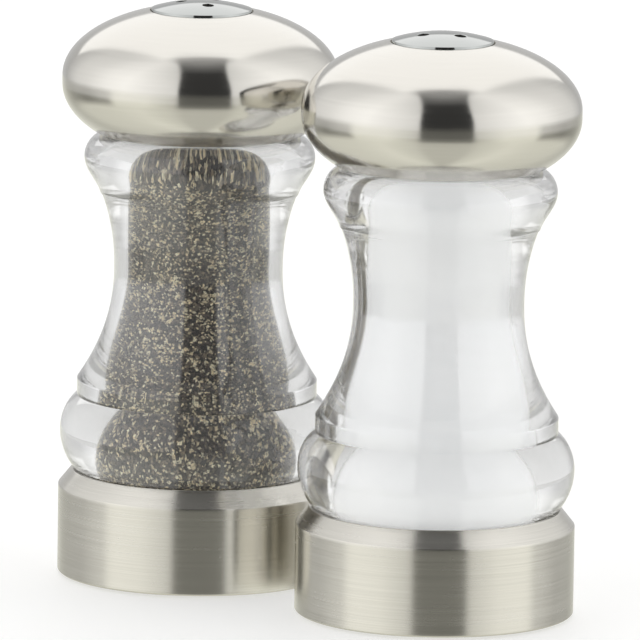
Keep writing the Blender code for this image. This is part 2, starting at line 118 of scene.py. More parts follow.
def turnedPiece(name, outline, x, lift=None, steps=None):
    # surface of revolution: (angle, row) -> (r cos angle, r sin angle, z) with r = outline + lift(angle, r, z),
    # the outline running up the outside; UV is the turn and the length along the outline
    steps = steps or fineness["round"]
    outline = np.array(outline, float)
    rows = len(outline)
    solid = outline[0, 0] < 1e-6
    angles = np.arange(steps) / steps * tau
    radius = np.repeat(outline[:, :1], steps, 1)
    height = np.repeat(outline[:, 1:], steps, 1)
    if lift is not None:
        radius = radius + lift(angles[None, :], radius, height)
    grid = np.stack([radius * np.cos(angles), radius * np.sin(angles), height], 2).reshape(-1, 3) * mm
    grid[:, 0] += x
    number = np.arange(rows * steps).reshape(rows, steps)
    if solid:
        # one point for each pole
        grid = np.vstack([grid[:1], grid[steps:-steps], grid[-1:]])
        number = np.clip(number - steps + 1, 0, len(grid) - 1)
    lower = number[:-1] if solid else number
    upper = number[1:] if solid else np.roll(number, -1, 0)
    quads = np.stack([lower, np.roll(lower, -1, 1), np.roll(upper, -1, 1), upper], 2)
    along = np.r_[0, np.cumsum(np.linalg.norm(np.diff(outline, axis=0), axis=1))]
    closing = np.linalg.norm(outline[0] - outline[-1])
    vLow = along[:-1] if solid else along
    vHigh = along[1:] if solid else np.r_[along[1:], along[-1] + closing]
    u = np.arange(steps) / steps
    uv = np.zeros((len(vLow), steps, 4, 2))
    uv[..., 0, 0] = uv[..., 3, 0] = u
    uv[..., 1, 0] = uv[..., 2, 0] = u + 1 / steps
    uv[..., 0, 1] = uv[..., 1, 1] = vLow[:, None]
    uv[..., 2, 1] = uv[..., 3, 1] = vHigh[:, None]
    parts = [(slice(None), [0, 1, 2, 3])]
    if solid:
        # four-sided faces between the poles, three-sided ones at them
        parts = [(slice(1, -1), [0, 1, 2, 3]), (slice(0, 1), [0, 2, 3]), (slice(-1, None), [0, 1, 2])]
    faces = sum((quads[row][..., corners].reshape(-1, len(corners)).tolist() for row, corners in parts), [])
    corners = np.vstack([uv[row][:, :, corners].reshape(-1, 2) for row, corners in parts])
    mesh = bpy.data.meshes.new(name)
    mesh.from_pydata(grid.tolist(), [], faces)
    layer = mesh.uv_layers.new(name="UVMap")
    layer.data.foreach_set("uv", corners.astype(np.float32).ravel())
    return placed(name, mesh)


def placed(name, mesh, sharp=50):
    # smooth faces, parted where they meet at more than the sharp angle
    mesh.update()
    mesh.shade_smooth()
    mesh.set_sharp_from_angle(angle=math.radians(sharp))
    piece = bpy.data.objects.new(name, mesh)
    bpy.context.scene.collection.objects.link(piece)
    return piece


def openToLamps(piece):
    # thin steel that casts no shade, so that the plastic behind it, seen through the acrylic, is lit
    piece.visible_shadow = False


def finishPiece(piece, material, body, node):
    # the piece's finish, the body it rides on, and the CAD node it stands for
    piece.data.materials.clear()
    piece.data.materials.append(material)
    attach(piece, body)
    if node:
        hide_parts(node)


def newGroup(name, inputs, outputs):
    # a shader group: inputs are (name, kind, value), outputs are (name, kind)
    group = bpy.data.node_groups.new(name, "ShaderNodeTree")
    for label, kind, value in inputs:
        socket = group.interface.new_socket(name=label, in_out="INPUT", socket_type=kind)
        if value is not None:
            socket.default_value = value
    for label, kind in outputs:
        group.interface.new_socket(name=label, in_out="OUTPUT", socket_type=kind)
    return group, group.nodes.new("NodeGroupInput").outputs, group.nodes.new("NodeGroupOutput").inputs


def feed(tree, socket, value):
    if isinstance(value, bpy.types.NodeSocket):
        tree.links.new(value, socket)
    else:
        socket.default_value = value


def mathNode(tree, operation, a, b=0.0, clamp=False):
    node = tree.nodes.new("ShaderNodeMath")
    node.operation = operation
    node.use_clamp = clamp
    feed(tree, node.inputs[0], a)
    feed(tree, node.inputs[1], b)
    return node.outputs[0]


def noiseNode(tree, vector, scale, detail=2.0, roughness=0.5):
    node = tree.nodes.new("ShaderNodeTexNoise")
    feed(tree, node.inputs["Vector"], vector)
    feed(tree, node.inputs["Scale"], scale)
    node.inputs["Detail"].default_value = detail
    node.inputs["Roughness"].default_value = roughness
    return node.outputs["Fac"]


def rangeNode(tree, value, fromLow, fromHigh, toLow, toHigh):
    node = tree.nodes.new("ShaderNodeMapRange")
    for socket, number in zip(node.inputs, (value, fromLow, fromHigh, toLow, toHigh)):
        feed(tree, socket, number)
    return node.outputs[0]


def mixColour(tree, factor, first, second):
    node = tree.nodes.new("ShaderNodeMix")
    node.data_type = "RGBA"
    feed(tree, node.inputs[0], factor)
    feed(tree, node.inputs[6], first)
    feed(tree, node.inputs[7], second)
    return node.outputs[2]


def makeTurnedLines():
    # fine lines round the axis: quick change along the outline, slow change round it
    group, given, result = newGroup(
        "turnedLines",
        [("Fineness", "NodeSocketFloat", 6.0), ("Drift", "NodeSocketFloat", 60.0)],
        [("Lines", "NodeSocketFloat"), ("Broad", "NodeSocketFloat")],
    )
    place = group.nodes.new("ShaderNodeTexCoord")
    across = group.nodes.new("ShaderNodeSeparateXYZ")
    feed(group, across.inputs[0], place.outputs["UV"])
    where = group.nodes.new("ShaderNodeSeparateXYZ")
    feed(group, where.inputs[0], place.outputs["Object"])
    line = group.nodes.new("ShaderNodeCombineXYZ")
    feed(group, line.inputs[0], mathNode(group, "MULTIPLY", where.outputs[0], given["Drift"]))
    feed(group, line.inputs[1], mathNode(group, "MULTIPLY", where.outputs[1], given["Drift"]))
    feed(group, line.inputs[2], mathNode(group, "MULTIPLY", across.outputs[1], given["Fineness"]))
    feed(group, result["Lines"], noiseNode(group, line.outputs[0], 1.0, 4.0, 0.65))
    feed(group, result["Broad"], noiseNode(group, line.outputs[0], 0.17, 2.0, 0.5))
    return group


def makeHandling():
    # smudges from use: a broad soft patch mask
    group, given, result = newGroup("handling", [("Size", "NodeSocketFloat", 90.0)],
                                    [("Smudge", "NodeSocketFloat")])
    place = group.nodes.new("ShaderNodeTexCoord")
    smudge = noiseNode(group, place.outputs["Object"], given["Size"], 3.0, 0.55)
    feed(group, result["Smudge"], rangeNode(group, smudge, 0.42, 0.72, 0.0, 1.0))
    return group


turnedLines = makeTurnedLines()
handling = makeHandling()


def newMaterial(name):
    material = bpy.data.materials.new(name)
    material.use_nodes = True
    tree = material.node_tree
    return material, tree, tree.nodes["Principled BSDF"]


def groupNode(tree, group, **values):
    node = tree.nodes.new("ShaderNodeGroup")
    node.node_tree = group
    for label, value in values.items():
        node.inputs[label].default_value = value
    return node.outputs


def bumpNode(tree, height, strength, distance):
    node = tree.nodes.new("ShaderNodeBump")
    node.inputs["Strength"].default_value = strength
    node.inputs["Distance"].default_value = distance
    feed(tree, node.inputs["Height"], height)
    return node.outputs[0]


steelFinish = {
    "cap": {"colour": (0.705, 0.685, 0.640), "dark": (0.672, 0.652, 0.607), "roughness": (0.11, 0.145),
            "fineness": 9.0, "drift": 55.0, "anisotropy": 0.75, "bump": 0.02},
    "ring": {"colour": (0.730, 0.709, 0.655), "dark": (0.650, 0.630, 0.578), "roughness": (0.21, 0.27),
             "fineness": 7.5, "drift": 22.0, "anisotropy": 0.86, "bump": 0.02},
    "disc": {"colour": (0.475, 0.490, 0.480), "dark": (0.450, 0.465, 0.455), "roughness": (0.04, 0.07),
             "fineness": 12.0, "drift": 55.0, "anisotropy": 0.3, "bump": 0.008},
    # the hole walls: rough steel painted near black, painted shade inside the holes
    "holeShade": {"colour": (0.09, 0.085, 0.08), "dark": (0.05, 0.048, 0.045), "roughness": (0.45, 0.6),
                "fineness": 6.0, "drift": 55.0, "anisotropy": 0.2, "bump": 0.05},
}

# Smudges and line depth that all the steels share.
steelWear = {"size": 110.0, "dulling": 0.03, "lineDepth": 0.0001}


def steelMaterial(name, finish):
    # brushed metal: colour follows the fine lines, roughness the broad ones, and the highlight runs across them
    material, tree, shader = newMaterial(name)
    lines = groupNode(tree, turnedLines, Fineness=finish["fineness"], Drift=finish["drift"])
    wear = groupNode(tree, handling, Size=steelWear["size"])
    shade = rangeNode(tree, lines["Lines"], 0.3, 0.7, 0.0, 1.0)
    colour = mixColour(tree, shade, (*finish["dark"], 1), (*finish["colour"], 1))
    feed(tree, shader.inputs["Base Color"], colour)
    low, high = finish["roughness"]
    rough = rangeNode(tree, lines["Broad"], 0.3, 0.7, low, high)
    rough = mathNode(tree, "ADD", rough, mathNode(tree, "MULTIPLY", wear["Smudge"], steelWear["dulling"]))
    feed(tree, shader.inputs["Roughness"], rough)
    shader.inputs["Metallic"].default_value = 1.0
    shader.inputs["Anisotropic"].default_value = finish["anisotropy"]
    shader.inputs["Anisotropic Rotation"].default_value = 0.25
    tangent = tree.nodes.new("ShaderNodeTangent")
    tangent.direction_type = "UV_MAP"
    tangent.uv_map = "UVMap"
    feed(tree, shader.inputs["Tangent"], tangent.outputs[0])
    feed(tree, shader.inputs["Normal"], bumpNode(tree, lines["Lines"], finish["bump"], steelWear["lineDepth"]))
    return material


acrylicFinish = {
    "colour": (0.992, 0.996, 0.995), "index": 1.49, "roughness": 0.05, "coat": 1.0, "coatRoughness": 0.05,
    "wearSize": 70.0, "wearDulling": 0.012, "rippleSize": 45.0, "ripple": 0.05, "rippleDepth": 0.0006,
    "lampTint": (0.985, 0.99, 0.99),
}


def acrylicMaterial(name, finish):
    # clear for the eye, and open to lamps, so that the grains inside are lit
    material, tree, shader = newMaterial(name)
    wear = groupNode(tree, handling, Size=finish["wearSize"])
    shader.inputs["Base Color"].default_value = (*finish["colour"], 1)
    rough = mathNode(tree, "MULTIPLY", wear["Smudge"], finish["wearDulling"])
    feed(tree, shader.inputs["Roughness"], mathNode(tree, "ADD", rough, finish["roughness"]))
    shader.inputs["IOR"].default_value = finish["index"]
    shader.inputs["Transmission Weight"].default_value = 1.0
    shader.inputs["Coat Weight"].default_value = finish["coat"]
    shader.inputs["Coat Roughness"].default_value = finish["coatRoughness"]
    place = tree.nodes.new("ShaderNodeTexCoord")
    ripple = noiseNode(tree, place.outputs["Object"], finish["rippleSize"], 1.0)
    feed(tree, shader.inputs["Normal"], bumpNode(tree, ripple, finish["ripple"], finish["rippleDepth"]))
    lamp = tree.nodes.new("ShaderNodeLightPath")
    clear = tree.nodes.new("ShaderNodeBsdfTransparent")
    clear.inputs["Color"].default_value = (*finish["lampTint"], 1)
    mix = tree.nodes.new("ShaderNodeMixShader")
    feed(tree, mix.inputs[0], lamp.outputs["Is Shadow Ray"])
    feed(tree, mix.inputs[1], shader.outputs[0])
    feed(tree, mix.inputs[2], clear.outputs[0])
    tree.links.new(mix.outputs[0], tree.nodes["Material Output"].inputs["Surface"])
    return material


mouldedFinish = {
    "insert": {"colour": (0.80, 0.80, 0.77), "roughness": 0.42, "grain": 1500.0, "bump": 0.15},
    "plug": {"colour": (0.74, 0.74, 0.71), "roughness": 0.46, "grain": 1500.0, "bump": 0.2},
    "seal": {"colour": (0.78, 0.78, 0.75), "roughness": 0.5, "grain": 1800.0, "bump": 0.1},
    "pad": {"colour": (0.035, 0.035, 0.036), "roughness": 0.75, "grain": 2200.0, "bump": 0.6},
}
mouldedGrain = {"toneSize": 120.0, "shade": 0.9, "spread": 0.06, "depth": 0.0002}


def mouldedMaterial(name, finish):
    # moulded plastic, silicone and rubber: a slightly uneven tone and a fine surface grain
    material, tree, shader = newMaterial(name)
    place = tree.nodes.new("ShaderNodeTexCoord")
    tone = noiseNode(tree, place.outputs["Object"], mouldedGrain["toneSize"], 3.0)
    shade = tuple(mouldedGrain["shade"] * c for c in finish["colour"])
    feed(tree, shader.inputs["Base Color"], mixColour(tree, tone, (*shade, 1), (*finish["colour"], 1)))
    texture = noiseNode(tree, place.outputs["Object"], finish["grain"], 3.0, 0.6)
    low, high = (finish["roughness"] + side * mouldedGrain["spread"] for side in (-1, 1))
    feed(tree, shader.inputs["Roughness"], rangeNode(tree, texture, 0.3, 0.7, low, high))
    feed(tree, shader.inputs["Normal"], bumpNode(tree, texture, finish["bump"], mouldedGrain["depth"]))
    return material


# glow is painted light: an emission that makes the salt brighter
saltFinish = {
    "white": (0.985, 0.985, 0.985), "cool": (0.955, 0.96, 0.965), "pit": (0.93, 0.935, 0.94),
    "driftSize": 55.0, "grainSize": 2600.0, "roughness": (0.55, 0.85), "bump": 0.12, "depth": 0.0002, "glow": 0.19,
}


def saltMaterial(finish):
    # fine white grains: slow drifts between two whites, with darker pits, and a painted glow that brightens them
    material, tree, shader = newMaterial("fineSalt")
    place = tree.nodes.new("ShaderNodeTexCoord")
    drift = noiseNode(tree, place.outputs["Object"], finish["driftSize"], 3.0, 0.5)
    grain = noiseNode(tree, place.outputs["Object"], finish["grainSize"], 2.0, 0.7)
    drift = rangeNode(tree, drift, 0.35, 0.65, 0.0, 1.0)
    broad = mixColour(tree, drift, (*finish["cool"], 1), (*finish["white"], 1))
    pits = rangeNode(tree, grain, 0.3, 0.5, 0.0, 1.0)
    feed(tree, shader.inputs["Base Color"], mixColour(tree, pits, (*finish["pit"], 1), broad))
    feed(tree, shader.inputs["Roughness"], rangeNode(tree, grain, 0.3, 0.7, *finish["roughness"]))
    feed(tree, shader.inputs["Normal"], bumpNode(tree, grain, finish["bump"], finish["depth"]))
    # painted light: the salt glows in its own colour, to look brighter than the lamps light it
    feed(tree, shader.inputs["Emission Color"], broad)
    shader.inputs["Emission Strength"].default_value = finish["glow"]
    return material


pepperFinish = {"mottleSize": 2400.0, "crack": (0.012, 0.010, 0.008), "cracked": 0.72, "roughness": (0.6, 0.9),
                "bump": 0.4, "depth": 0.0002}


def pepperMaterial(finish):
    # each grain carries its own tone as an attribute, and a finer mottle breaks it up
    material, tree, shader = newMaterial("groundPepper")
    tone = tree.nodes.new("ShaderNodeAttribute")
    tone.attribute_name = "grainTone"
    tone = tone.outputs["Color"]
    place = tree.nodes.new("ShaderNodeTexCoord")
    mottle = noiseNode(tree, place.outputs["Object"], finish["mottleSize"], 2.0, 0.6)
    dark = mixColour(tree, finish["cracked"], tone, (*finish["crack"], 1))
    whole = rangeNode(tree, mottle, 0.3, 0.55, 0.0, 1.0)
    feed(tree, shader.inputs["Base Color"], mixColour(tree, whole, dark, tone))
    feed(tree, shader.inputs["Roughness"], rangeNode(tree, mottle, 0.3, 0.7, *finish["roughness"]))
    feed(tree, shader.inputs["Normal"], bumpNode(tree, mottle, finish["bump"], finish["depth"]))
    return material


capSteel = steelMaterial("satinSteel", steelFinish["cap"])
ringSteel = steelMaterial("brushedSteel", steelFinish["ring"])
discSteel = steelMaterial("polishedSteel", steelFinish["disc"])
# painted shade: near-black steel for the walls of the holes
holeShadeSteel = steelMaterial("holeShadeSteel", steelFinish["holeShade"])
clearAcrylic = acrylicMaterial("clearAcrylic", acrylicFinish)
insertPlastic = mouldedMaterial("insertPlastic", mouldedFinish["insert"])
plugPlastic = mouldedMaterial("plugPlastic", mouldedFinish["plug"])
sealSilicone = mouldedMaterial("sealSilicone", mouldedFinish["seal"])
padRubber = mouldedMaterial("padRubber", mouldedFinish["pad"])
fineSalt = saltMaterial(saltFinish)
groundPepper = pepperMaterial(pepperFinish)
print("materials ready")

bottle = {
    "spigotRadius": 26.3, "footLowerRound": 13.0, "footUpperRound": 10.3, "footLower": 8.4, "footUpper": 7.8,
    "lipRadius": 26.3, "lipHeight": 3.6, "flare": 24.6, "waistRadius": 18.47, "waistPower": 2.15,
    "necking": 16.6, "stepRadius": 21.45, "beadRadius": 25.26, "beadSwell": 3.74, "beadWave": 9.2,
    "beadLower": 7.9, "beadRound": 5.3, "neckRoot": 17.4,
    "cavity": 15.45, "cavityFoot": 21.8, "cavityFlareTop": 0.5, "cavityFlare": 33.0, "edge": 0.22,
}
thread = {"height": 0.9, "pitch": 3.6, "crest": 0.35, "turns": 1.4, "start": 3.2, "fade": 0.12,
          "insertCrest": 0.48, "insertTurns": 1.1, "insertDelay": 0.35, "neckRows": 44, "insertRows": 48}
seatGap = 0.3


def bottleLevels(shaker):
    # heights along the bottle, each stacked on the one below
    spigotBottom, neckTop = nodeLevels(shaker + "_bottle")
    seat = nodeLevels(shaker + "_base_ring")[1] + seatGap
    foot = seat + bottle["footLower"]
    lipBottom = foot + bottle["footUpper"]
    lipTop = lipBottom + bottle["lipHeight"]
    waist = lipTop + bottle["flare"]
    step = waist + bottle["necking"]
    bead = step + bottle["beadLower"]
    shoulder = bead + bottle["beadRound"]
    return {"bottom": spigotBottom, "seat": seat, "foot": foot, "lipBottom": lipBottom, "lipTop": lipTop,
            "waist": waist, "step": step, "bead": bead, "shoulder": shoulder, "top": neckTop}


def cavityRadius(z, level):
    # straight bore that widens in a half wave to the foot
    part = np.clip((level["waist"] + bottle["cavityFlareTop"] - z) / bottle["cavityFlare"], 0, 1)
    return bottle["cavity"] + (bottle["cavityFoot"] - bottle["cavity"]) * (1 - np.cos(np.pi * part)) / 2


def threadRidge(angle, z, first, turns, crest, height):
    # a ridge that climbs one pitch a turn, with sloping flanks and fading ends
    turn = angle / tau
    along = np.round((z - first) / thread["pitch"] - turn) + turn
    beside = np.abs(z - first - along * thread["pitch"])
    ridge = np.clip(height + crest - beside, 0, height)
    return ridge * np.clip(np.minimum(along, turns - along) / thread["fade"], 0, 1)


def closerRows(rows, radius, low, high, count):
    # closer rows along the straight wall that carries a thread, and a mask of them
    onWall = (np.abs(rows[:, 0] - radius) < 0.05) & (rows[:, 1] > low) & (rows[:, 1] < high)
    first, last = np.flatnonzero(onWall)[[0, -1]]
    wall = np.stack([np.full(count, radius), np.linspace(rows[first, 1], rows[last, 1], count)], 1)
    mask = np.repeat([False, True, False], [first, count, len(rows) - last - 1])
    return np.vstack([rows[:first], wall, rows[last + 1:]]), mask


def makeBottle(shaker):
    # foot of two round arcs, flare and necking as powers of the height, a bead that is part of a wave, a
    # threaded neck, and the bore back down
    level = bottleLevels(shaker)
    footRadius = nodeRadius(shaker + "_bottle")
    lowerAngle = math.degrees(math.asin(bottle["footLower"] / bottle["footLowerRound"]))
    upperAngle = math.degrees(math.asin(bottle["footUpper"] / bottle["footUpperRound"]))
    lowerRound, upperRound = bottle["footLowerRound"], bottle["footUpperRound"]
    waist, power = bottle["waistRadius"], bottle["waistPower"]
    part = np.linspace(0, 1, 60)
    flare = np.stack([waist + (bottle["lipRadius"] - waist) * (1 - part) ** power,
                      level["lipTop"] + bottle["flare"] * part], 1)
    necking = np.stack([waist + (bottle["stepRadius"] - waist) * part ** power,
                        level["waist"] + bottle["necking"] * part], 1)
    beadZ = level["step"] + bottle["beadLower"] * part
    wave = np.cos(np.pi * (level["bead"] - beadZ) / bottle["beadWave"])
    bead = np.stack([bottle["beadRadius"] - bottle["beadSwell"] * (1 - wave) / 2, beadZ], 1)
    neckRoot = bottle["neckRoot"]
    wallZ = np.linspace(level["top"], level["bottom"], 120)
    wall = np.stack([cavityRadius(wallZ, level), wallZ], 1)
    outline = np.vstack([
        [(bottle["spigotRadius"], level["bottom"]), (bottle["spigotRadius"], level["seat"])],
        ellipseArc((footRadius - lowerRound, level["foot"]), (lowerRound, lowerRound), -lowerAngle, 0, 60),
        ellipseArc((footRadius - upperRound, level["foot"]), (upperRound, upperRound), 0, upperAngle, 60)[1:],
        [(bottle["lipRadius"], level["lipBottom"])], flare, necking[1:], bead,
        ellipseArc((bottle["beadRadius"] - bottle["beadRound"], level["bead"]),
                   (bottle["beadRound"], bottle["beadRound"]), 0, 90, 60)[1:],
        [(neckRoot, level["shoulder"]), (neckRoot, level["top"])], wall,
    ])
    rows = roundedOutline(outline, edge=bottle["edge"], rowLength=0.9, rowTurn=4.0)

    def raised(angle, r, z):
        onNeck = (np.abs(r - neckRoot) < 0.2) & (z > level["shoulder"] + 0.3) & (z < level["top"] - 0.5)
        first = level["shoulder"] + thread["start"]
        ridge = threadRidge(angle, z, first, thread["turns"], thread["crest"], thread["height"])
        return np.where(onNeck, ridge, 0)

    rows = closerRows(rows, neckRoot, level["shoulder"] + 0.4, level["top"] - 0.4, thread["neckRows"])[0]
    piece = turnedPiece(shaker + "BottleBody", rows, axisX(shaker), raised)
    finishPiece(piece, clearAcrylic, shaker + "_shaker", shaker + "_bottle")


ring = {"crease": 19.2, "chamferInset": 2.9, "land": 0.7, "wall": 1.0, "lip": 4.0, "edgeRound": 0.6, "edge": 0.14}


def makeRing(shaker):
    # a lip that turns in at the bottom, a straight side, and a chamfer up to the bottle
    bottom, top = nodeLevels(shaker + "_base_ring")
    radius = nodeRadius(shaker + "_base_ring")
    crease = bottom + ring["crease"]
    inner = radius - ring["wall"]
    rounded = ring["edgeRound"] * 0.6
    mouth = radius - ring["chamferInset"] - ring["land"]
    outline = [
        (radius - ring["lip"], bottom), (radius - rounded, bottom), (radius, bottom + rounded),
        (radius, crease), (radius - ring["chamferInset"], top), (mouth, top),
        (mouth, top - ring["wall"]), (inner, crease - ring["wall"] / 2), (inner, bottom + ring["wall"]),
        (radius - ring["lip"], bottom + ring["wall"]),
    ]
    rows = roundedOutline(outline, edge=ring["edge"])
    piece = turnedPiece(shaker + "RingShell", rows, axisX(shaker), steps=192)
    openToLamps(piece)
    finishPiece(piece, ringSteel, shaker + "_shaker", shaker + "_base_ring")


cap = {"wall": 0.8, "lowerHeight": 10.4, "band": 1.8, "upperSemi": 15.6, "rimInset": 2.5, "groove": 0.3,
       "discRadius": 11.0, "discThickness": 1.0, "discProud": 0.5, "discRise": 1.6, "edge": 0.16}


def capShape(shaker):
    # levels and radii of the cap's two half ellipses, which meet in a short straight band
    rim = nodeLevels(shaker + "_cap_shell")[0]
    radius = nodeRadius(shaker + "_cap_shell")
    widest = rim + cap["lowerHeight"]
    rimRadius = bottle["beadRadius"] - cap["rimInset"]
    lowerSemi = cap["lowerHeight"] / math.sqrt(1 - (rimRadius / radius) ** 2)
    return {"rim": rim, "radius": radius, "widest": widest, "dome": widest + cap["band"],
            "lowerSemi": lowerSemi, "mouth": cap["discRadius"] + cap["groove"]}


def domeLine(shape, wall):
    # the dome's outline at a depth below its outer face, from the rim up to the mouth round the disc
    reach = shape["radius"] - wall
    rimAngle = math.degrees(math.asin(cap["lowerHeight"] / (shape["lowerSemi"] - wall)))
    mouthAngle = math.degrees(math.acos(shape["mouth"] / reach))
    return np.vstack([
        ellipseArc((0, shape["widest"]), (reach, shape["lowerSemi"] - wall), -rimAngle, 0, 60),
        ellipseArc((0, shape["dome"]), (reach, cap["upperSemi"] - wall), 0, mouthAngle, 80),
    ])


def domeHeight(shape, wall, r):
    # height of the upper ellipse at a radius
    return shape["dome"] + (cap["upperSemi"] - wall) * math.sqrt(1 - (r / (shape["radius"] - wall)) ** 2)


def makeCapShell(shaker):
    # the dome's outer line and, a wall's thickness inside it, the same line back
    shape = capShape(shaker)
    outline = np.vstack([domeLine(shape, 0), domeLine(shape, cap["wall"])[::-1]])
    rows = roundedOutline(outline, edge=cap["edge"], rowLength=1.2, rowTurn=3.0)
    piece = turnedPiece(shaker + "CapDome", rows, axisX(shaker), steps=192)
    openToLamps(piece)
    finishPiece(piece, capSteel, shaker + "_cap", shaker + "_cap_shell")


holes = {"radius": 1.25, "circle": 4.6, "count": 3, "lip": 0.10, "firstAngle": {"salt": 1, "pepper": 86}}
discEdge = {"inset": 0.3, "round": 0.1, "drop": 0.07}


def makeDisc(shaker):
    # one wedge of the disc for each hole: rows run from the wedge's border in to the hole, down its wall and
    # back out under the disc, and a band closes the rim
    shape = capShape(shaker)
    edgeZ = domeHeight(shape, 0, shape["mouth"]) + cap["discProud"]
    face = cap["discRadius"] - discEdge["inset"]

    def top(flat):
        return edgeZ + cap["discRise"] * (1 - (np.linalg.norm(flat, axis=1) / face) ** 2)

    half = math.pi / holes["count"]
    onRim, onSide, onFlat, onLip = 40, 24, 14, 5
    swing = np.linspace(-half, half, onRim + 1)
    out = np.linspace(0, 1, onSide + 1)
    rimPart = np.stack([face * np.cos(swing), face * np.sin(swing)], 1)
    inward = face * (1 - out[1:, None]) * np.array([[math.cos(half), math.sin(half)]])
    outward = inward[:-1][::-1] * np.array([[1, -1]])
    border = np.vstack([rimPart, inward, outward])
    centre = np.array([holes["circle"], 0])
    ray = border - centre
    toHole = ray / np.linalg.norm(ray, axis=1)[:, None]
    lip = holes["lip"]
    start = centre + toHole * (holes["radius"] + lip)
    rings = []
    for part in np.linspace(0, 1, onFlat) ** 0.8:
        flat = border * (1 - part) + start * part
        rings.append(np.column_stack([flat, top(flat)]))
    for turn in np.linspace(0, math.pi / 2, onLip)[1:]:
        flat = centre + toHole * (holes["radius"] + lip * (1 - math.sin(turn)))
        rings.append(np.column_stack([flat, top(flat) - lip * (1 - math.cos(turn))]))
    for above in (rings[-1][:, :2], rings[0][:, :2]):
        rings.append(np.column_stack([above, top(above) - cap["discThickness"]]))
    grid = np.array(rings)
    loop = grid.shape[1]
    number = np.arange(grid.shape[0] * loop).reshape(grid.shape[:2])
    quads = np.stack([number[:-1], np.roll(number[:-1], -1, 1), np.roll(number[1:], -1, 1), number[1:]], 2)
    turns = math.radians(holes["firstAngle"][shaker]) + 2 * half * np.arange(holes["count"])
    points, faces = [], []
    for a in turns:
        spin = np.array([[math.cos(a), math.sin(a), 0], [-math.sin(a), math.cos(a), 0], [0, 0, 1]])
        faces.append(quads.reshape(-1, 4) + sum(len(p) for p in points))
        points.append(grid.reshape(-1, 3) @ spin)
    # the rim: from the top border out round a small edge and down to the underside
    around = (turns[:, None] + swing[:-1]).ravel()
    outer, bottomZ = cap["discRadius"], edgeZ - cap["discThickness"]
    rim = np.array([(face, edgeZ), (outer - discEdge["round"], edgeZ - discEdge["drop"]),
                    (outer, edgeZ - discEdge["inset"]), (outer, bottomZ), (face, bottomZ)])
    band = np.stack([rim[:, :1] * np.cos(around), rim[:, :1] * np.sin(around),
                     np.repeat(rim[:, 1:], len(around), 1)], 2)
    number = np.arange(band.shape[0] * band.shape[1]).reshape(band.shape[:2])
    quads = np.stack([number[1:], np.roll(number[1:], -1, 1), np.roll(number[:-1], -1, 1), number[:-1]], 2)
    faces.append(quads.reshape(-1, 4) + sum(len(p) for p in points))
    points.append(band.reshape(-1, 3))
    co = np.vstack(points) * mm
    co[:, 0] += axisX(shaker)
    mesh = bpy.data.meshes.new(shaker + "DiscPlate")
    mesh.from_pydata(co.tolist(), [], np.vstack(faces).tolist())
    mergeClose(mesh)
    layer = mesh.uv_layers.new(name="UVMap")
    place = np.zeros(len(mesh.vertices) * 3, np.float32)
    mesh.vertices.foreach_get("co", place)
    place = place.reshape(-1, 3)
    corner = np.zeros(len(mesh.loops), np.int32)
    mesh.loops.foreach_get("vertex_index", corner)
    flat = place[corner, :2] - np.array([axisX(shaker), 0])
    turn = np.arctan2(flat[:, 1], flat[:, 0]) / tau
    layer.data.foreach_set("uv", np.stack([turn, np.hypot(*flat.T) / mm], 1).astype(np.float32).ravel())
    piece = placed(shaker + "DiscPlate", mesh, 40)
    finishPiece(piece, discSteel, shaker + "_cap", shaker + "_shaker_disc")
    # the walls of the holes get rough steel painted near black: painted shade inside the holes
    piece.data.materials.append(holeShadeSteel)
    centres = np.zeros(len(mesh.polygons) * 3, np.float32)
    mesh.polygons.foreach_get("center", centres)
    normals = np.zeros(len(mesh.polygons) * 3, np.float32)
    mesh.polygons.foreach_get("normal", normals)
    centres, normals = centres.reshape(-1, 3), normals.reshape(-1, 3)
    reach = np.hypot(centres[:, 0] - axisX(shaker), centres[:, 1]) / mm
    # faces of the hole walls, which take the painted shade
    holeShade = (np.abs(normals[:, 2]) < 0.5) & (reach < holes["circle"] + 2 * holes["radius"])
    mesh.polygons.foreach_set("material_index", holeShade.astype(np.int32))


def mergeClose(mesh, reach=2e-6):
    # points closer than the reach become one, and all faces turn outwards
    work = bmesh.new()
    work.from_mesh(mesh)
    bmesh.ops.remove_doubles(work, verts=work.verts, dist=reach)
    bmesh.ops.dissolve_degenerate(work, edges=work.edges, dist=reach / 2)
    bmesh.ops.recalc_face_normals(work, faces=work.faces)
    work.to_mesh(mesh)
    work.free()


inside = {"gap": 0.3, "insertRoot": 18.65, "insertWall": 1.6, "insertFlange": 1.6, "insertBore": 9.2,
          "insertTopWall": 4.4, "washerBore": 15.75, "plugFlange": 4.7, "plugStem": 21.5, "edge": 0.12,
          "padEdge": 0.35}


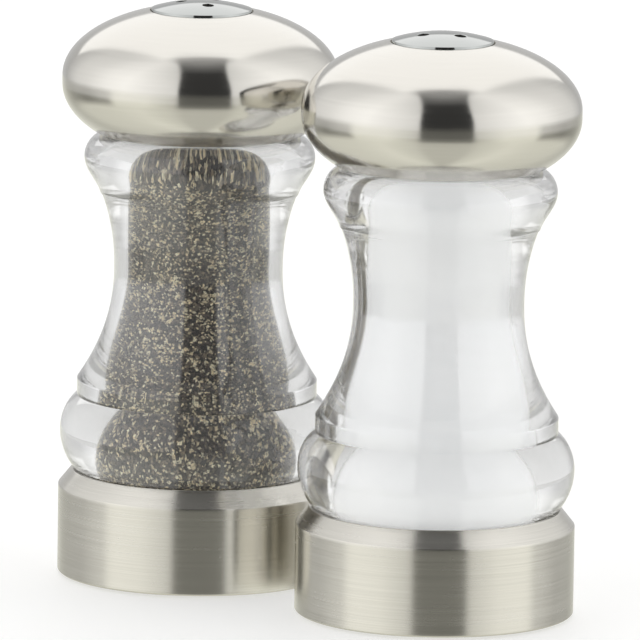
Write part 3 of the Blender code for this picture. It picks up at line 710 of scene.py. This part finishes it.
def makeInsert(shaker):
    # a flange at the rim, a collar with a thread inside, and a tube up to the disc
    bottom, top = nodeLevels(shaker + "_cap_insert")
    seatLow, seatHigh = nodeLevels(shaker + "_cap_washer")
    root, bore, gap = inside["insertRoot"], inside["insertBore"], inside["gap"]
    collar = root + inside["insertWall"]
    tube = bore + inside["insertTopWall"]
    spigot = cap["discRadius"] - gap
    step = bottom + inside["insertFlange"]
    shoulder = seatHigh + gap
    collarTop = shoulder + inside["insertFlange"]
    tubeTop = domeHeight(capShape(shaker), cap["wall"], tube) - gap
    flange = nodeRadius(shaker + "_cap_insert")
    rows = roundedOutline([
        (root, bottom), (flange, bottom), (flange, step), (collar, step), (collar, collarTop), (tube, collarTop),
        (tube, tubeTop), (spigot, tubeTop), (spigot, top), (bore, top), (bore, shoulder), (root, shoulder),
    ], edge=inside["edge"])
    rows, onRoot = closerRows(rows, root, bottom + gap, shoulder - gap, thread["insertRows"])
    first = bottleLevels(shaker)["shoulder"] + thread["start"]
    first -= thread["pitch"] * (0.5 - thread["insertDelay"])

    def sunk(angle, r, z):
        turned = (angle / tau - thread["insertDelay"]) % 1 * tau
        ridge = threadRidge(turned, z, first, thread["insertTurns"], thread["insertCrest"], thread["height"])
        return np.where(onRoot[:, None] & (z > bottom + 0.15) & (z < seatLow - 0.45), -ridge, 0)

    piece = turnedPiece(shaker + "CapInsert", rows, axisX(shaker), sunk)
    finishPiece(piece, insertPlastic, shaker + "_cap", shaker + "_cap_insert")


def makeWasher(shaker):
    # a flat ring between the neck's rim and the insert
    bottom, top = nodeLevels(shaker + "_cap_washer")
    radius, bore = nodeRadius(shaker + "_cap_washer"), inside["washerBore"]
    rows = roundedOutline([(bore, bottom), (radius, bottom), (radius, top), (bore, top)], edge=inside["edge"])
    piece = turnedPiece(shaker + "CapWasher", rows, axisX(shaker))
    finishPiece(piece, sealSilicone, shaker + "_cap", shaker + "_cap_washer")


def makePlug(shaker):
    # the plug with its recess for the pad and its groove for the seal, then the seal and the pad
    x = axisX(shaker)
    bottom, top = nodeLevels(shaker + "_base_plug")
    sealLow, sealHigh = nodeLevels(shaker + "_plug_seal")
    padLow, padHigh = nodeLevels(shaker + "_foot_pad")
    section = (sealHigh - sealLow) / 2
    sealRadius = nodeRadius(shaker + "_plug_seal") - section
    padRadius = nodeRadius(shaker + "_foot_pad")
    radius, gap, stem = nodeRadius(shaker + "_base_plug"), inside["gap"], inside["plugStem"]
    flange = bottom + inside["plugFlange"]
    groove = sealRadius - section - gap
    rows = roundedOutline([
        (0, padHigh + gap), (padRadius + gap, padHigh + gap), (padRadius + gap, bottom), (radius, bottom),
        (radius, flange), (stem, flange), (stem, sealLow - gap), (groove, sealLow - gap), (groove, sealHigh + gap),
        (stem, sealHigh + gap), (stem, top), (0, top),
    ], closed=False, edge=inside["edge"])
    rows[[0, -1], 0] = 0
    piece = turnedPiece(shaker + "BasePlug", rows, x)
    finishPiece(piece, plugPlastic, shaker + "_shaker", shaker + "_base_plug")
    rows = ellipseArc((sealRadius, (sealLow + sealHigh) / 2), (section, section), 0, 360, 33)[:-1]
    piece = turnedPiece(shaker + "PlugSeal", rows, x)
    finishPiece(piece, sealSilicone, shaker + "_shaker", shaker + "_plug_seal")
    rows = roundedOutline([(0, padLow), (padRadius, padLow), (padRadius, padHigh), (0, padHigh)], closed=False,
                          edge=inside["padEdge"])
    rows[[0, -1], 0] = 0
    piece = turnedPiece(shaker + "FootPad", rows, x)
    finishPiece(piece, padRubber, shaker + "_shaker", shaker + "_foot_pad")


for shaker in shakers:
    makeBottle(shaker)
    makeRing(shaker)
    makeCapShell(shaker)
    makeDisc(shaker)
    makeInsert(shaker)
    makeWasher(shaker)
    makePlug(shaker)
print("bottles, rings, caps and their plastics made")

fill = {
    "margin": 0.3, "edge": 0.5, "rowLength": 0.8, "saltRipple": 0.05, "coreInset": 0.7, "coreDrop": 0.4,
    "batches": 3, "chips": 24000, "seed": 7, "onTop": 0.06, "sinkPale": 0.15, "sinkDark": 0.40, "tilt": 0.34,
    "length": (0.30, 0.58), "width": (0.22, 0.42), "thickness": (0.12, 0.2), "spread": 0.28,
}


def fillRows(shaker, margin):
    # rows from the middle of the base up beside the cavity's wall, a margin inside it, to the middle of the top
    level = bottleLevels(shaker)
    low, high = nodeLevels(shaker + "_fill")
    z = np.linspace(low, high, 160)
    wall = np.stack([cavityRadius(z, level) - margin, z], 1)
    outline = np.vstack([[(0, low)], wall, [(0, high)]])
    rows = roundedOutline(outline, closed=False, edge=fill["edge"], rowLength=fill["rowLength"])
    rows[[0, -1], 0] = 0
    return rows


def makeSalt():
    # the fill with two crossed waves pressed into its side
    def ripple(angle, r, z):
        waves = np.sin(9 * angle + 0.7 * z) * np.sin(1.3 * z - 4 * angle)
        return np.where(r > 1, -fill["saltRipple"] * (1 + waves), 0)

    piece = turnedPiece("saltGrains", fillRows("salt", fill["margin"]), axisX("salt"), ripple)
    finishPiece(piece, fineSalt, "salt_shaker", "salt_fill")


# Colours of the ground pepper, and how often each one comes.
pepperTones = np.array([
    [0.036, 0.028, 0.020], [0.085, 0.067, 0.048], [0.165, 0.132, 0.094], [0.022, 0.018, 0.014],
    [0.330, 0.262, 0.172], [0.900, 0.765, 0.500], [0.975, 0.890, 0.650],
])
pepperShares = np.array([0.18, 0.17, 0.15, 0.08, 0.14, 0.16, 0.12])


def toneAttribute(mesh, tones):
    # one colour for each vertex
    layer = mesh.color_attributes.new("grainTone", "FLOAT_COLOR", "POINT")
    layer.data.foreach_set("color", np.column_stack([tones, np.ones(len(tones))]).astype(np.float32).ravel())


def makePepper():
    # a plain core under batches of chips
    rng = np.random.default_rng(fill["seed"])
    x = axisX("pepper")
    level = bottleLevels("pepper")
    low, high = nodeLevels("pepper_fill")
    rows = fillRows("pepper", fill["coreInset"])
    rows[:, 1] = np.clip(rows[:, 1], low, high - fill["coreDrop"])
    core = turnedPiece("pepperCore", rows, x)
    toneAttribute(core.data, np.tile(pepperTones[0], (len(core.data.vertices), 1)))
    finishPiece(core, groundPepper, "pepper_shaker", "pepper_fill")
    for batch in range(fill["batches"]):
        makeChips(batch, rng, x, level, low, high)


def makeChips(batch, rng, x, level, low, high):
    # jittered octahedra, flattened and turned at random, bedded in the outer skin and the top
    count = fill["chips"]
    onTop = rng.random(count) < fill["onTop"]
    z = low + (high - low) * rng.random(count) ** 1.1
    wall = cavityRadius(z, level)
    kind = rng.choice(len(pepperTones), count, p=pepperShares)
    pale = kind >= len(pepperTones) - 2
    spread = np.exp(rng.normal(0, fill["spread"], count))
    size = np.stack([rng.uniform(*fill[side], count) for side in ("length", "width", "thickness")], 1)
    size *= np.clip(spread, 0.45, 1.7)[:, None]
    reach = wall - 0.08 - size[:, 2] - rng.random(count) * np.where(pale, fill["sinkPale"], fill["sinkDark"])
    angle = rng.random(count) * tau
    # pale grains thin out here and there
    thinned = np.sin(5 * angle + 0.23 * z) * np.sin(0.31 * z - 3 * angle) + 0.6 * np.sin(0.9 * z + 4 * angle)
    kind = np.where(pale & (rng.random(count) < 0.25 + 0.25 * thinned), 2, kind)
    r = np.where(onTop, (cavityRadius(np.full(count, high), level) - 0.8) * np.sqrt(rng.random(count)), reach)
    z = np.where(onTop, high - 0.35 - rng.random(count) * 0.15, np.clip(z, low + 0.6, high - 0.6))
    outward = np.stack([np.cos(angle), np.sin(angle), np.zeros(count)], 1)
    outward[onTop] = (0, 0, 1)
    flat = unitRows(outward + fill["tilt"] * rng.normal(size=(count, 3)))
    long = rng.normal(size=(count, 3))
    long = unitRows(long - (long * flat).sum(1)[:, None] * flat)
    turn = np.stack([long, np.cross(flat, long), flat], 2)
    base = np.array([[1, 0, 0], [-1, 0, 0], [0, 1, 0], [0, -1, 0], [0, 0, 1], [0, 0, -1]], float)
    sides = np.array([[0, 2, 4], [2, 1, 4], [1, 3, 4], [3, 0, 4], [2, 0, 5], [1, 2, 5], [3, 1, 5], [0, 3, 5]])
    shape = base[None] * size[:, None, :] * rng.uniform(0.7, 1.15, (count, 6, 1))
    shape = np.einsum("nij,nkj->nki", turn, shape)
    shape += np.stack([r * np.cos(angle), r * np.sin(angle), z], 1)[:, None]
    far = np.hypot(shape[..., 0], shape[..., 1])
    limit = cavityRadius(shape[..., 2], level) - 0.04
    shrink = np.minimum(1, limit / np.maximum(far, 1e-6))
    shape[..., :2] *= shrink[..., None]
    shape[..., 2] = np.clip(shape[..., 2], low, high)
    faces = (sides[None] + 6 * np.arange(count)[:, None, None]).reshape(-1, 3)
    name = "pepperChips%d" % batch
    mesh = bpy.data.meshes.new(name)
    co = shape.reshape(-1, 3) * mm
    co[:, 0] += x
    mesh.from_pydata(co.tolist(), [], faces.tolist())
    tones = pepperTones[kind] * rng.uniform(0.75, 1.25, (count, 1))
    toneAttribute(mesh, np.repeat(tones, 6, axis=0))
    chips = placed(name, mesh, 30)
    finishPiece(chips, groundPepper, "pepper_shaker", None)


def unitRows(rows):
    # each row scaled to length one
    return rows / np.linalg.norm(rows, axis=1)[:, None]


makeSalt()
makePepper()
print("grains made")

view = {"aim": (0.0005, 0.0004, 0.06026), "azimuth": 38.14, "elevation": 9.97, "distance": 2.4842,
        "roll": 0.848, "lens": 642.9}


def makeCamera():
    # the camera looks along the view's azimuth and elevation at the aim
    a, e = math.radians(view["azimuth"]), math.radians(view["elevation"])
    ahead = Vector((-math.sin(a) * math.cos(e), math.cos(a) * math.cos(e), -math.sin(e)))
    camera = bpy.data.objects.new("camera", bpy.data.cameras.new("camera"))
    camera.location = Vector(view["aim"]) - ahead * view["distance"]
    camera.rotation_mode = "QUATERNION"
    roll = Quaternion((0, 0, 1), math.radians(view["roll"]))
    camera.rotation_quaternion = ahead.to_track_quat("-Z", "Y") @ roll
    camera.data.lens = view["lens"]
    camera.data.sensor_width = 36
    camera.data.clip_end = 50
    bpy.context.scene.collection.objects.link(camera)
    bpy.context.scene.camera = camera


# The studio round the pair, as levels by azimuth in degrees, from the middle of the dark gap in front to
# straight behind. Above the table's edge stand the soft boxes, below it come the strip by the edge and then the
# table. Heights are in degrees too, and soft is how far each edge fades.
studio = {
    "turn": 4.0, "edge": -8.5, "edgeSoft": 0.5, "tableFrom": -17, "tableTo": -26, "tableColour": (1.0, 1.0, 0.90),
    "boxes": ((0, 0.95), (24, 0.96), (50, 1.19), (70, 1.36), (90, 1.25), (110, 1.03), (130, 0.90), (152, 0.55),
              (180, 0.60)),
    "strip": ((0, 0.21), (20, 0.22), (26, 0.66), (50, 1.02), (80, 0.98), (88, 0.42), (115, 0.28), (140, 0.42),
              (180, 0.90)),
    "table": ((0, 0.66), (20, 0.67), (30, 0.79), (60, 0.96), (90, 0.87), (130, 0.80), (150, 0.62), (180, 0.85)),
    "boxTop": (25, 75, 0.78), "bandFrom": 71, "bandTo": 80,
    "gapHalf": 0.375, "gapSoft": 0.015, "gapTaper": 0.16, "gapDark": 0.045, "gapFrom": 57, "gapTo": 86,
    "gapGrey": 0.36, "overhead": (1.28, 1.275, 1.27), "overheadHalf": 0.35, "overheadSpread": 0.45,
    "overheadBack": 3.3, "overheadSoft": (0.05, 0.03, 0.3), "throughAcrylic": (0.4, 0.90),
}


def makeWorld():
    # azimuth = atan2(|right|, towards the camera) and elevation = asin(up) of a direction choose the level, the
    # gap is where |right| + taper * up^2 is small, and the overhead box is where |right| / up is under a half
    # width that grows with away / up
    world = bpy.data.worlds.new("studio")
    bpy.context.scene.world = world
    world.use_nodes = True
    tree = world.node_tree
    place = tree.nodes.new("ShaderNodeTexCoord").outputs["Generated"]
    a = math.radians(view["azimuth"] + studio["turn"])

    def along(axis):
        node = tree.nodes.new("ShaderNodeVectorMath")
        node.operation = "DOT_PRODUCT"
        feed(tree, node.inputs[0], place)
        node.inputs[1].default_value = axis
        return node.outputs["Value"]

    def byAzimuth(levels):
        ramp = tree.nodes.new("ShaderNodeValToRGB")
        feed(tree, ramp.inputs[0], azimuth)
        stops = ramp.color_ramp.elements
        while len(stops) < len(levels):
            stops.new(1.0)
        for stop, (degrees, grey) in zip(stops, levels):
            stop.position = degrees / 180
            stop.color = (grey, grey, grey, 1)
        return ramp.outputs[0]

    towards = along((math.sin(a), -math.cos(a), 0))
    right = mathNode(tree, "ABSOLUTE", along((math.cos(a), math.sin(a), 0)))
    up = along((0, 0, 1))
    azimuth = mathNode(tree, "DIVIDE", mathNode(tree, "ARCTAN2", right, towards), math.pi)
    elevation = mathNode(tree, "DEGREES", mathNode(tree, "ARCSINE", up))
    start, end, level = studio["boxTop"]
    fading = rangeNode(tree, elevation, start, end, 0.0, 1.0 - level)
    boxes = mixColour(tree, fading, byAzimuth(studio["boxes"]), (0, 0, 0, 1))
    gap = rangeNode(tree, elevation, studio["gapFrom"], studio["gapTo"], studio["gapDark"], studio["gapGrey"])
    narrowed = mathNode(tree, "MULTIPLY", mathNode(tree, "MULTIPLY", up, up), studio["gapTaper"])
    aside = mathNode(tree, "ADD", right, narrowed)
    half, soft = studio["gapHalf"], studio["gapSoft"]
    inGap = mathNode(tree, "MULTIPLY", rangeNode(tree, aside, half - soft, half + soft, 1.0, 0.0),
                     mathNode(tree, "GREATER_THAN", towards, 0.0))
    boxes = mixColour(tree, inGap, boxes, gap)
    grey = studio["gapGrey"]
    inBand = rangeNode(tree, elevation, studio["bandFrom"], studio["bandTo"], 0.0, 1.0)
    boxes = mixColour(tree, inBand, boxes, (grey, grey, grey, 1))
    over = mathNode(tree, "MAXIMUM", up, 0.02)
    across = mathNode(tree, "DIVIDE", right, over)
    away = mathNode(tree, "MULTIPLY", mathNode(tree, "DIVIDE", towards, over), -1.0)
    spread = mathNode(tree, "SUBTRACT", across, mathNode(tree, "MULTIPLY", away, studio["overheadSpread"]))
    half, back = studio["overheadHalf"], studio["overheadBack"]
    sideSoft, frontSoft, backSoft = studio["overheadSoft"]
    inside = rangeNode(tree, spread, half - sideSoft, half + sideSoft, 1.0, 0.0)
    inside = mathNode(tree, "MULTIPLY", inside, rangeNode(tree, away, -frontSoft, frontSoft, 0.0, 1.0))
    inside = mathNode(tree, "MULTIPLY", inside, rangeNode(tree, away, back - backSoft, back + backSoft, 1.0, 0.0))
    above = mixColour(tree, inside, boxes, (*studio["overhead"], 1))
    table = mixColour(tree, rangeNode(tree, elevation, studio["tableTo"], studio["tableFrom"], 1.0, 0.0),
                      byAzimuth(studio["strip"]), byAzimuth(studio["table"]))
    tint = tree.nodes.new("ShaderNodeMix")
    tint.data_type = "RGBA"
    tint.blend_type = "MULTIPLY"
    tint.inputs[0].default_value = 1.0
    feed(tree, tint.inputs[6], table)
    tint.inputs[7].default_value = (*studio["tableColour"], 1)
    edge, soft = studio["edge"], studio["edgeSoft"]
    isAbove = rangeNode(tree, elevation, edge - soft, edge + soft, 0.0, 1.0)
    light = mixColour(tree, isAbove, tint.outputs[2], above)
    path = tree.nodes.new("ShaderNodeLightPath")
    # behind the acrylic the room is softer
    share, grey = studio["throughAcrylic"]
    wash = mathNode(tree, "MULTIPLY", path.outputs["Is Transmission Ray"], share)
    light = mixColour(tree, wash, light, (grey, grey, grey, 1))
    light = mixColour(tree, path.outputs["Is Camera Ray"], light, (1, 1, 1, 1))
    feed(tree, tree.nodes["Background"].inputs["Color"], light)


floorLook = {"reach": 3, "drop": 0.00005, "colour": (0.60, 0.60, 0.59), "glow": 0.45,
             "throughColour": (0.42, 0.42, 0.41), "throughGlow": (0.6, 0.6, 0.6)}


def makeFloor():
    # one pale sheet, left out of mirror images, where the studio's own table shows, and clear from below
    material, tree, shader = newMaterial("paleFloor")
    through = tree.nodes.new("ShaderNodeLightPath").outputs["Is Transmission Ray"]
    colour = mixColour(tree, through, (*floorLook["colour"], 1), (*floorLook["throughColour"], 1))
    feed(tree, shader.inputs["Base Color"], colour)
    shader.inputs["Roughness"].default_value = 0.6
    glow = mixColour(tree, through, (1, 1, 1, 1), (*floorLook["throughGlow"], 1))
    feed(tree, shader.inputs["Emission Color"], glow)
    shader.inputs["Emission Strength"].default_value = floorLook["glow"]
    below = tree.nodes.new("ShaderNodeNewGeometry").outputs["Backfacing"]
    mix = tree.nodes.new("ShaderNodeMixShader")
    feed(tree, mix.inputs[0], below)
    feed(tree, mix.inputs[1], shader.outputs[0])
    feed(tree, mix.inputs[2], tree.nodes.new("ShaderNodeBsdfTransparent").outputs[0])
    tree.links.new(mix.outputs[0], tree.nodes["Material Output"].inputs["Surface"])
    reach, low = floorLook["reach"], -floorLook["drop"]
    corners = [(-reach, -reach, low), (reach, -reach, low), (reach, reach, low), (-reach, reach, low)]
    mesh = bpy.data.meshes.new("floor")
    mesh.from_pydata(corners, [], [(0, 1, 2, 3)])
    mesh.materials.append(material)
    floor = bpy.data.objects.new("floor", mesh)
    floor.visible_glossy = False
    bpy.context.scene.collection.objects.link(floor)


makeCamera()
makeWorld()
makeFloor()
bpy.context.scene.view_settings.view_transform = "Standard"
# many short reflections inside the thick acrylic
cycles = bpy.context.scene.cycles
cycles.max_bounces = cycles.transmission_bounces = 32
cycles.glossy_bounces = 24
print("studio ready")
